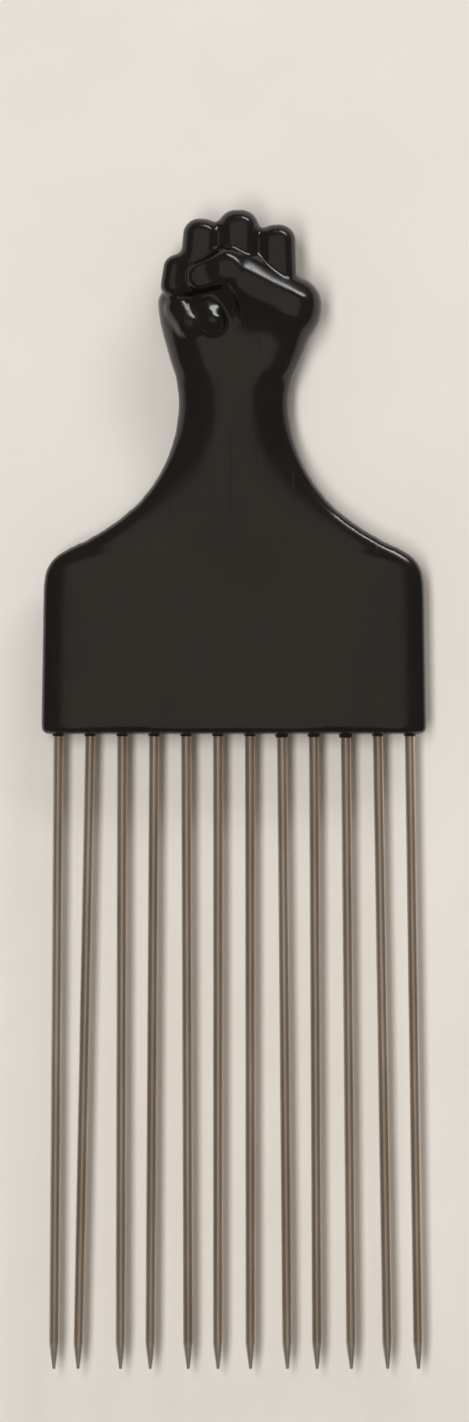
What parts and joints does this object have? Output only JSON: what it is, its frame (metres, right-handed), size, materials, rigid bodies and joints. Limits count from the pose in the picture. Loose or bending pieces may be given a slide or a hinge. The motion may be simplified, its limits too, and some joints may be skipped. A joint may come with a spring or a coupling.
{
  "type": "afro pick",
  "caption": "Hair pick with a row of long straight round wire tines set in a flat moulded plate, whose waisted neck rises into a raised-fist handle.",
  "frame": {"origin": "centre of the bounding box's bottom face, with the pick lying on its back, palm side of the fist up", "axes": "+Y from the tine tips towards the fist, +Z out of the palm side, +X to the right as the palm side is seen with the fist up"},
  "size_m": [0.0766, 0.23, 0.0185],
  "materials": {
    "moulded_plastic": "glossy moulded black",
    "tine_wire": "nickel-plated drawn wire"
  },
  "bodies": {
    "root": {"handle": "moulded_plastic", "tine_01": "tine_wire", "tine_02": "tine_wire", "tine_03": "tine_wire", "tine_04": "tine_wire", "tine_05": "tine_wire", "tine_06": "tine_wire", "tine_07": "tine_wire", "tine_08": "tine_wire", "tine_09": "tine_wire", "tine_10": "tine_wire", "tine_11": "tine_wire", "tine_12": "tine_wire"}
  },
  "joints": []
}
